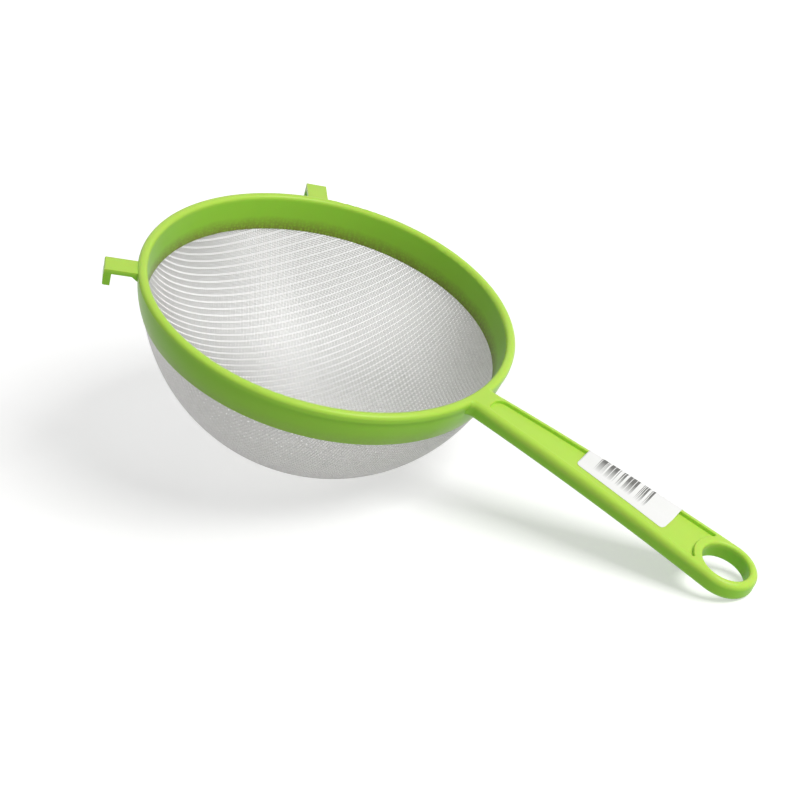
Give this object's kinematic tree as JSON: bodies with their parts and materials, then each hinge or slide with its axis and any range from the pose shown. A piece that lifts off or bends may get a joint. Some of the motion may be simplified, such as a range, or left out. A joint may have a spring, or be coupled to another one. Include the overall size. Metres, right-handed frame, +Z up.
{
  "type": "hand sieve",
  "caption": "Round hand sieve: a deep woven-wire bowl moulded into a plastic rim band with rest hooks and a long arched handle with a hanging eye, resting on its bowl and handle end.",
  "frame": {"origin": "centre of the bounding box's base, on the table the sieve rests on", "axes": "+Z up from the table, +X from the bowl towards the handle's end, +Y across the handle; the rim's axis leans towards +X, because the sieve rests on its bowl and its handle's end"},
  "size_m": [0.3386, 0.2, 0.1284],
  "materials": {
    "green_plastic": "injection-moulded polypropylene, satin to semi-gloss, lime green",
    "steel_wire": "plain-woven drawn steel wire, bright",
    "label_paper": null
  },
  "bodies": {
    "root": {"moulded_frame": "green_plastic", "mesh_bowl": "steel_wire", "paper_label": "label_paper"}
  },
  "joints": []
}
